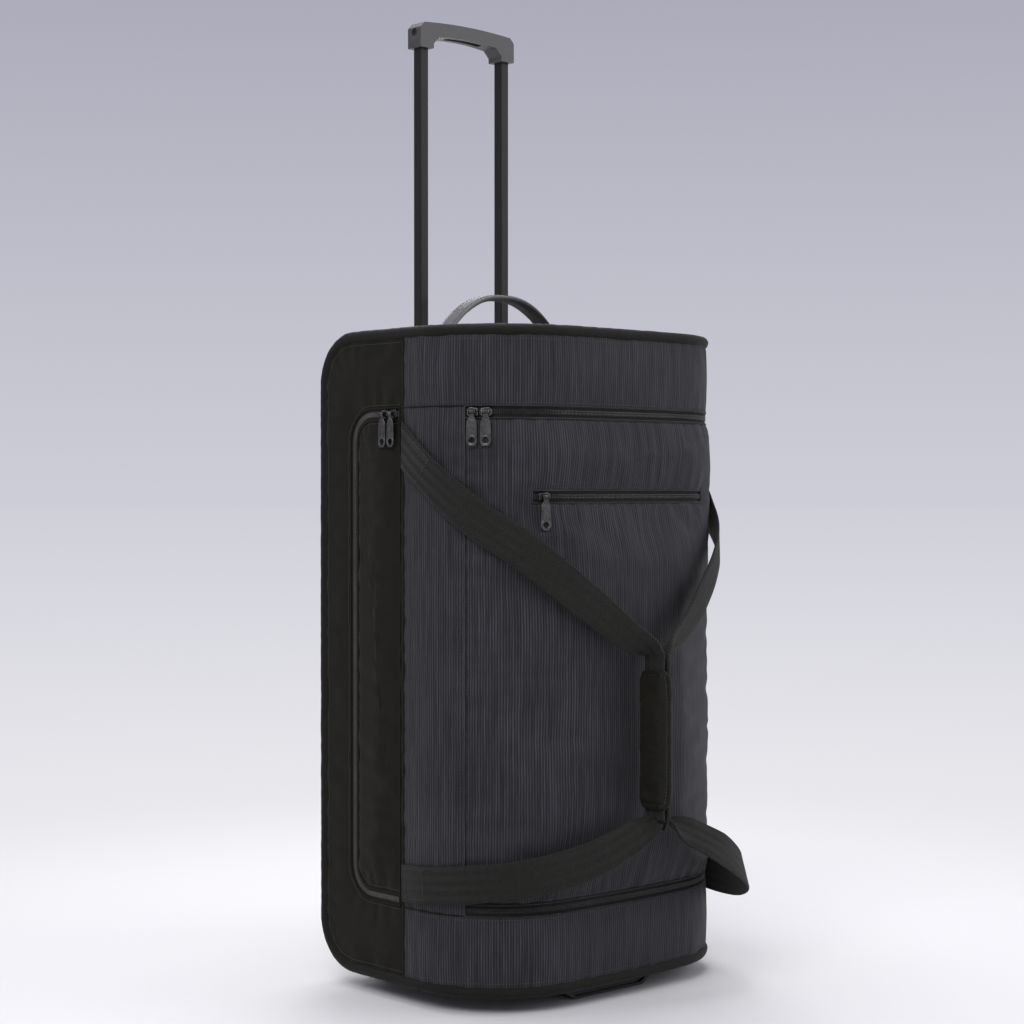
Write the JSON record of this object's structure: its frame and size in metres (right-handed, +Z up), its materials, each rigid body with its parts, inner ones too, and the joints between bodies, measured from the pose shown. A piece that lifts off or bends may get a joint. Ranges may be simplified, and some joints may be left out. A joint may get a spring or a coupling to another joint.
{
  "type": "wheeled sports equipment bag",
  "caption": "Wheeled sports kit bag standing on end, with a telescopic trolley handle, zipped front flap, side pocket, carry straps with a hand wrap, wheels and a moulded foot.",
  "frame": {"origin": "middle of the footprint box, on the ground", "axes": "+X across the width, -Y the way the front opening faces, +Y the trolley side, +Z up"},
  "size_m": [0.4122, 0.356, 1.09],
  "materials": {
    "ribbed_fabric": "ribbed polyester, slight sheen",
    "smooth_fabric": "coated polyester, matte",
    "piping": "fabric-covered cord",
    "zip_tape": "coil zip on tape",
    "lining": "thin woven lining",
    "webbing": "woven polyester webbing",
    "padding": "padded grip cloth",
    "slider_metal": "gunmetal",
    "tube_metal": "satin black",
    "grip_plastic": "fine grain, dark grey",
    "base_plastic": "fine grain, black",
    "button_plastic": "fine grain",
    "carry_handle_cloth": "soft grey cloth",
    "tyre_rubber": "matte",
    "hub_plastic": "dark grey",
    "axle_steel": "zinc plated",
    "screw_steel": "black oxide",
    "board_plastic": "sheet"
  },
  "bodies": {
    "bag": {"spine_panel": "smooth_fabric", "front_panel": "ribbed_fabric", "side_panel_left": "smooth_fabric", "side_panel_right": "smooth_fabric", "edge_piping": "piping", "main_zip_body_half": "zip_tape", "side_zip_body_half": "zip_tape", "side_pocket_pouch": "lining", "carry_handle": "carry_handle_cloth", "back_board": "board_plastic", "handle_bezel": "base_plastic", "bezel_screw_left": "screw_steel", "bezel_screw_right": "screw_steel", "outer_tube_left": "tube_metal", "outer_tube_right": "tube_metal", "tube_foot_block": "base_plastic", "wheel_housing_left": "base_plastic", "wheel_housing_right": "base_plastic", "axle_left": "axle_steel", "axle_right": "axle_steel", "foot_bar": "base_plastic", "foot_screw_left": "screw_steel", "foot_screw_right": "screw_steel"},
    "main_flap": {"main_flap_panel": "ribbed_fabric", "main_zip_flap_half": "zip_tape", "pocket_zip": "zip_tape", "flap_pocket_pouch": "lining"},
    "side_flap": {"side_flap_panel": "smooth_fabric", "side_zip_flap_half": "zip_tape"},
    "strap_left_body": {"strap_left": "webbing", "hand_wrap": "padding"},
    "strap_right_body": {"strap_right": "webbing", "strap_sleeve": "webbing"},
    "trolley_handle": {"inner_tube_left": "tube_metal", "inner_tube_right": "tube_metal", "grip": "grip_plastic", "grip_screw_left": "screw_steel", "grip_screw_right": "screw_steel"},
    "release": {"release_button": "button_plastic", "pull_rod_left": "tube_metal", "pull_rod_right": "tube_metal"},
    "lock_pin_left_body": {"lock_pin_left": "tube_metal"},
    "lock_pin_right_body": {"lock_pin_right": "tube_metal"},
    "wheel_left": {"wheel_hub_left": "hub_plastic", "tyre_left": "tyre_rubber"},
    "wheel_right": {"wheel_hub_right": "hub_plastic", "tyre_right": "tyre_rubber"},
    "main_1_slider_body": {"main_1_slider": "slider_metal"},
    "main_1_pull_body": {"main_1_pull": "slider_metal"},
    "main_2_slider_body": {"main_2_slider": "slider_metal"},
    "main_2_pull_body": {"main_2_pull": "slider_metal"},
    "pocket_slider_body": {"pocket_slider": "slider_metal"},
    "pocket_pull_body": {"pocket_pull": "slider_metal"},
    "side_1_slider_body": {"side_1_slider": "slider_metal"},
    "side_1_pull_body": {"side_1_pull": "slider_metal"},
    "side_2_slider_body": {"side_2_slider": "slider_metal"},
    "side_2_pull_body": {"side_2_pull": "slider_metal"}
  },
  "joints": [
    {"name": "trolley_slide", "type": "slide", "parent": "bag", "child": "trolley_handle", "axis": [0, 0, 1], "range_m": [-0.333, 0]},
    {"name": "release_button_press", "type": "slide", "parent": "trolley_handle", "child": "release", "axis": [0, 0, 1], "range_m": [-0.004, 0], "stiffness_N_per_m": 300, "springref_m": -0.006},
    {"name": "lock_pin_left_slide", "type": "slide", "parent": "trolley_handle", "child": "lock_pin_left_body", "axis": [1, 0, 0], "range_m": [-0.002, 0]},
    {"name": "lock_pin_right_slide", "type": "slide", "parent": "trolley_handle", "child": "lock_pin_right_body", "axis": [-1, 0, 0], "range_m": [-0.002, 0]},
    {"name": "wheel_left_spin", "type": "hinge", "parent": "bag", "child": "wheel_left", "pos_m": [-0.11435, 0.14448, 0.0325], "axis": [1, 0, 0], "continuous": true},
    {"name": "wheel_right_spin", "type": "hinge", "parent": "bag", "child": "wheel_right", "pos_m": [0.11365, 0.14448, 0.0325], "axis": [1, 0, 0], "continuous": true},
    {"name": "main_flap_hinge", "type": "hinge", "parent": "bag", "child": "main_flap", "pos_m": [-0.18244, -0.04938, 0.37], "axis": [0, 0, -1], "range_deg": [0, 100]},
    {"name": "side_flap_hinge", "type": "hinge", "parent": "bag", "child": "side_flap", "pos_m": [-0.19785, 0.03848, 0.37], "axis": [0, 0, 1], "range_deg": [0, 90]},
    {"name": "strap_left_swing", "type": "hinge", "parent": "bag", "child": "strap_left_body", "pos_m": [-0.20055, 0.03148, 0.37], "axis": [0, 0, -1], "range_deg": [0, 82]},
    {"name": "strap_right_swing", "type": "hinge", "parent": "bag", "child": "strap_right_body", "pos_m": [0.19985, 0.03148, 0.37], "axis": [0, 0, 1], "range_deg": [0, 170]},
    {"name": "main_1_slider_travel", "type": "hinge", "parent": "main_flap", "child": "main_1_slider_body", "pos_m": [-0.08285, 0.00812, 0.6305], "axis": [0, 0, 1], "range_deg": [0, 0.6]},
    {"name": "main_2_slider_travel", "type": "hinge", "parent": "main_flap", "child": "main_2_slider_body", "pos_m": [-0.08285, 0.00812, 0.6305], "axis": [0, 0, 1], "range_deg": [0, 40]},
    {"name": "pocket_slider_travel", "type": "hinge", "parent": "main_flap", "child": "pocket_slider_body", "pos_m": [-0.08285, 0.00812, 0.542], "axis": [0, 0, 1], "range_deg": [0, 13]},
    {"name": "side_1_slider_travel", "type": "slide", "parent": "side_flap", "child": "side_1_slider_body", "axis": [0, 1, 0], "range_m": [0, 0.0012]},
    {"name": "side_2_slider_travel", "type": "slide", "parent": "side_flap", "child": "side_2_slider_body", "axis": [0, 1, 0], "range_m": [0, 0.019]},
    {"name": "main_1_pull_lift", "type": "hinge", "parent": "main_1_slider_body", "child": "main_1_pull_body", "pos_m": [-0.18234, -0.06021, 0.6305], "axis": [-0.5662, 0.8243, 0], "range_deg": [0, 150]},
    {"name": "main_2_pull_lift", "type": "hinge", "parent": "main_2_slider_body", "child": "main_2_pull_body", "pos_m": [-0.17331, -0.07179, 0.6305], "axis": [-0.6621, 0.7494, 0], "range_deg": [0, 150]},
    {"name": "pocket_pull_lift", "type": "hinge", "parent": "pocket_slider_body", "child": "pocket_pull_body", "pos_m": [-0.11994, -0.10674, 0.542], "axis": [-0.9516, 0.3073, 0], "range_deg": [0, 150]},
    {"name": "side_1_pull_lift", "type": "hinge", "parent": "side_1_slider_body", "child": "side_1_pull_body", "pos_m": [-0.20355, 0.04748, 0.6305], "axis": [0, 1, 0], "range_deg": [0, 150]},
    {"name": "side_2_pull_lift", "type": "hinge", "parent": "side_2_slider_body", "child": "side_2_pull_body", "pos_m": [-0.20355, 0.06148, 0.6305], "axis": [0, 1, 0], "range_deg": [0, 150]}
  ],
  "couplings": [
    {"joint": "strap_left_swing", "follows": "main_flap_hinge", "ratio": 0.8},
    {"joint": "strap_right_swing", "follows": "main_flap_hinge", "ratio": 1.7},
    {"joint": "lock_pin_left_slide", "follows": "release_button_press", "ratio": 0.5},
    {"joint": "lock_pin_right_slide", "follows": "release_button_press", "ratio": 0.5}
  ]
}
